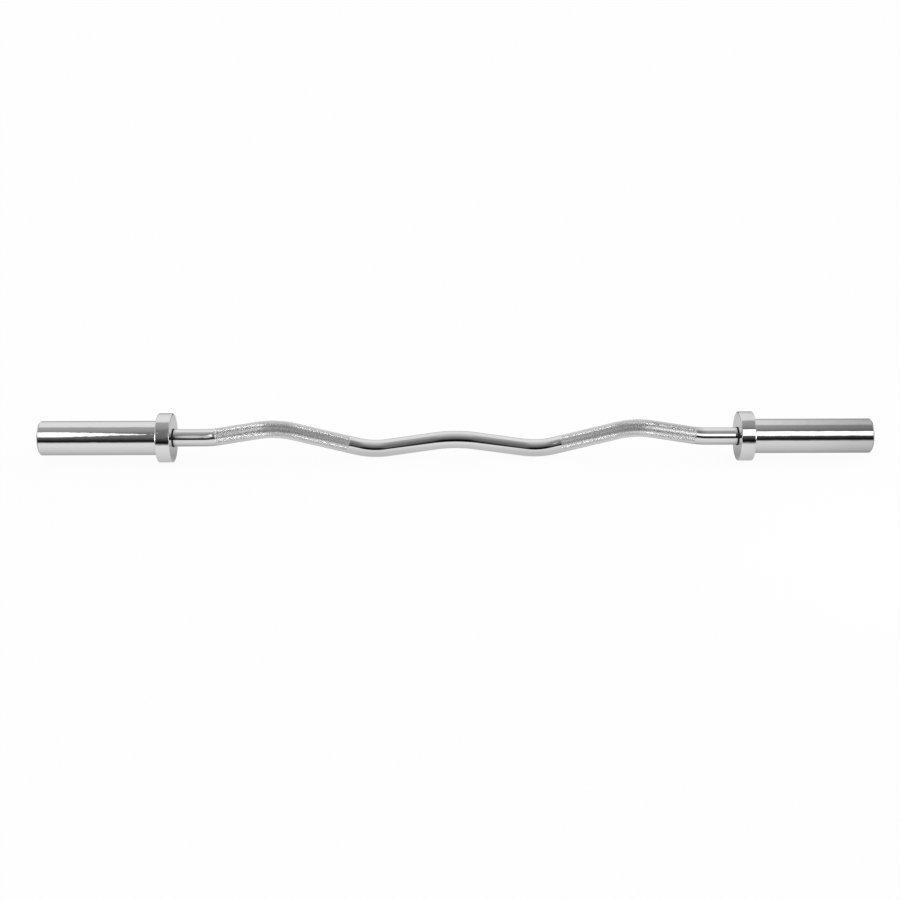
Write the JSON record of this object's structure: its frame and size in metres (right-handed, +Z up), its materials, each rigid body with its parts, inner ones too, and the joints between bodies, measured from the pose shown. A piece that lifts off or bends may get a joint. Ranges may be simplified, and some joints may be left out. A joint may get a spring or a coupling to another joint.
{
  "type": "curl bar",
  "caption": "Chrome curl bar with a wavy bent shaft, knurled angled grips, and free-spinning sleeves for plates with a 50 mm hole.",
  "frame": {"origin": "middle of the bar, on the axis that both sleeves turn about", "axes": "+X along the bar to its right end, +Z up as it lies on its collars, +Y towards the inner bends"},
  "size_m": [1.2, 0.071, 0.071],
  "materials": {
    "chrome": "bright chrome plate on ground steel",
    "bronze": "bored sintered bronze",
    "ground_steel": "ground hardened steel",
    "spring_steel": "black phosphated spring steel",
    "nickel_steel": "turned steel, satin nickel plate",
    "seal_rubber": "moulded black nitrile rubber"
  },
  "bodies": {
    "shaft": {"shaft": "chrome", "left_inner_thrust_washer": "ground_steel", "left_outer_thrust_washer": "ground_steel", "left_shaft_circlip": "spring_steel", "right_inner_thrust_washer": "ground_steel", "right_outer_thrust_washer": "ground_steel", "right_shaft_circlip": "spring_steel"},
    "left_sleeve": {"left_sleeve_tube": "chrome", "left_collar": "chrome", "left_dust_seal": "seal_rubber", "left_inner_bush": "bronze", "left_outer_bush": "bronze", "left_end_cap": "nickel_steel", "left_end_cap_circlip": "spring_steel"},
    "right_sleeve": {"right_sleeve_tube": "chrome", "right_collar": "chrome", "right_dust_seal": "seal_rubber", "right_inner_bush": "bronze", "right_outer_bush": "bronze", "right_end_cap": "nickel_steel", "right_end_cap_circlip": "spring_steel"}
  },
  "joints": [
    {"name": "left_sleeve_spin", "type": "hinge", "parent": "shaft", "child": "left_sleeve", "pos_m": [-0.5, 0, 0], "axis": [1, 0, 0], "continuous": true},
    {"name": "right_sleeve_spin", "type": "hinge", "parent": "shaft", "child": "right_sleeve", "pos_m": [0.5, 0, 0], "axis": [1, 0, 0], "continuous": true}
  ]
}
